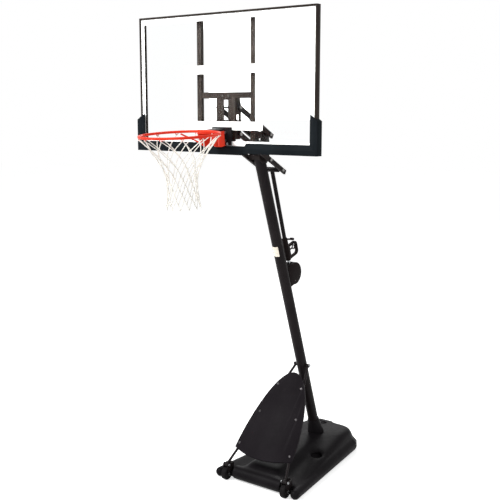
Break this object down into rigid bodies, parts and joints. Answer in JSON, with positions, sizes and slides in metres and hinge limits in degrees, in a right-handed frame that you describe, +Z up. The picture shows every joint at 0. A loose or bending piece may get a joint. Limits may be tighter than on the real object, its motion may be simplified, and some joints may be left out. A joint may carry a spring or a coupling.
{
  "type": "portable basketball hoop",
  "caption": "Portable basketball hoop: leaning pole on a filled wheeled base, trigger-lift parallel arms, clear framed backboard with corner pads, breakaway rim and cord net.",
  "frame": {"origin": "on the floor under the base tank, on the middle plane, 283 mm behind the tank's front edge", "axes": "+Z up, -Y towards the player in front of the board, +X to the right seen from the player"},
  "size_m": [1.408, 2.0937, 3.2037],
  "materials": {
    "frame_paint": "satin dark bronze paint",
    "bar_paint": "satin dark paint on angle iron",
    "pole_paint": "satin black powder coat",
    "rim_paint": "gloss red powder coat",
    "rim_black": "satin black paint",
    "zinc": "bright zinc",
    "pin_steel": "oiled steel",
    "rod_steel": "drawn steel",
    "tank_plastic": "blow-moulded, fine grain",
    "shield_plastic": "moulded, satin",
    "black_plastic": "moulded, matt",
    "wheel_plastic": "moulded, matt",
    "grip_plastic": "moulded, satin",
    "panel_clear": "clear sheet with a printed white border",
    "pad_foam": "moulded foam, matt",
    "net_cord": "braided off-white cord"
  },
  "bodies": {
    "base": {"base_tank": "tank_plastic", "wheel_axles": "zinc", "wheel_forks": "pole_paint", "strut_left": "pole_paint", "strut_right": "pole_paint", "strut_bolts": "zinc", "front_shield": "shield_plastic", "shield_bolts": "zinc", "pole": "pole_paint", "pole_boot": "black_plastic", "pole_cap": "black_plastic", "pole_top_bracket": "bar_paint", "upper_pole_pin": "pin_steel", "lower_pole_pin": "pin_steel", "lift_bracket": "pole_paint", "lift_housing": "grip_plastic"},
    "fill_cap": {"fill_cap": "black_plastic"},
    "wheel_left": {"wheel_left": "wheel_plastic"},
    "wheel_right": {"wheel_right": "wheel_plastic"},
    "lower_arms": {"lower_arm_left": "bar_paint", "lower_arm_right": "bar_paint", "lower_end_caps": "black_plastic", "lift_pin": "pin_steel"},
    "upper_arms": {"upper_arm_left": "bar_paint", "upper_arm_right": "bar_paint", "upper_end_caps": "black_plastic"},
    "board": {"acrylic_panel": "panel_clear", "frame_top": "frame_paint", "frame_bottom": "frame_paint", "frame_left": "frame_paint", "frame_right": "frame_paint", "upright_left": "bar_paint", "upright_right": "bar_paint", "crossbar": "bar_paint", "board_bracket": "bar_paint", "frame_bolts": "pin_steel", "upper_board_pin": "pin_steel", "lower_board_pin": "pin_steel", "corner_pad_left": "pad_foam", "corner_pad_right": "pad_foam", "center_pad": "pad_foam", "rim_mount_plate": "rim_black", "rim_bolts": "zinc", "rim_pivot_pin": "zinc"},
    "rim": {"rim_bracket": "rim_paint", "rim_cover": "rim_black", "rim_ring": "rim_paint", "rim_brace": "rim_paint", "net_hooks": "rim_paint", "net": "net_cord"},
    "lift_tube": {"lift_tube": "pole_paint", "lift_handle": "grip_plastic", "handle_knob": "black_plastic", "trigger_pin": "pin_steel"},
    "lift_trigger": {"lift_trigger": "grip_plastic"},
    "lift_rod": {"lift_rod": "rod_steel", "rod_pin": "pin_steel"}
  },
  "joints": [
    {"name": "fill_cap_off", "type": "slide", "parent": "base", "child": "fill_cap", "axis": [0, 0, 1], "range_m": [0, 0.04]},
    {"name": "wheel_left_turn", "type": "hinge", "parent": "base", "child": "wheel_left", "pos_m": [-0.252, -0.296, 0.048], "axis": [1, 0, 0], "continuous": true},
    {"name": "wheel_right_turn", "type": "hinge", "parent": "base", "child": "wheel_right", "pos_m": [0.252, -0.296, 0.048], "axis": [1, 0, 0], "continuous": true},
    {"name": "lift_arms", "type": "hinge", "parent": "base", "child": "lower_arms", "pos_m": [0, -0.24813, 2.292], "axis": [1, 0, 0], "range_deg": [0, 56]},
    {"name": "upper_arms_swing", "type": "hinge", "parent": "base", "child": "upper_arms", "pos_m": [0, -0.24813, 2.456], "axis": [1, 0, 0], "range_deg": [0, 56]},
    {"name": "board_level", "type": "hinge", "parent": "lower_arms", "child": "board", "pos_m": [0, -0.57482, 2.4657], "axis": [1, 0, 0], "range_deg": [-56, 0]},
    {"name": "rim_breakaway", "type": "hinge", "parent": "board", "child": "rim", "pos_m": [0, -0.67182, 2.4097], "axis": [1, 0, 0], "range_deg": [0, 30], "stiffness_Nm_per_rad": 60, "springref_deg": -34.38},
    {"name": "lift_tube_swing", "type": "hinge", "parent": "lower_arms", "child": "lift_tube", "pos_m": [0, -0.10774, 2.21735], "axis": [1, 0, 0], "range_deg": [-58.84, 0]},
    {"name": "trigger_pull", "type": "hinge", "parent": "lift_tube", "child": "lift_trigger", "pos_m": [0, 0.10266, 1.63475], "axis": [-1, 0, 0], "range_deg": [0, 11], "stiffness_Nm_per_rad": 1.5, "springref_deg": -20.05},
    {"name": "lift_rod_slide", "type": "slide", "parent": "lift_tube", "child": "lift_rod", "axis": [0, 0.3045, -0.9525], "range_m": [0, 0.14334]}
  ],
  "couplings": [
    {"joint": "upper_arms_swing", "follows": "lift_arms", "ratio": 1},
    {"joint": "board_level", "follows": "lift_arms", "ratio": -1},
    {"joint": "lift_tube_swing", "follows": "lift_arms", "ratio": -1.0507},
    {"joint": "lift_rod_slide", "follows": "lift_arms", "m_per_rad": 0.14665}
  ]
}
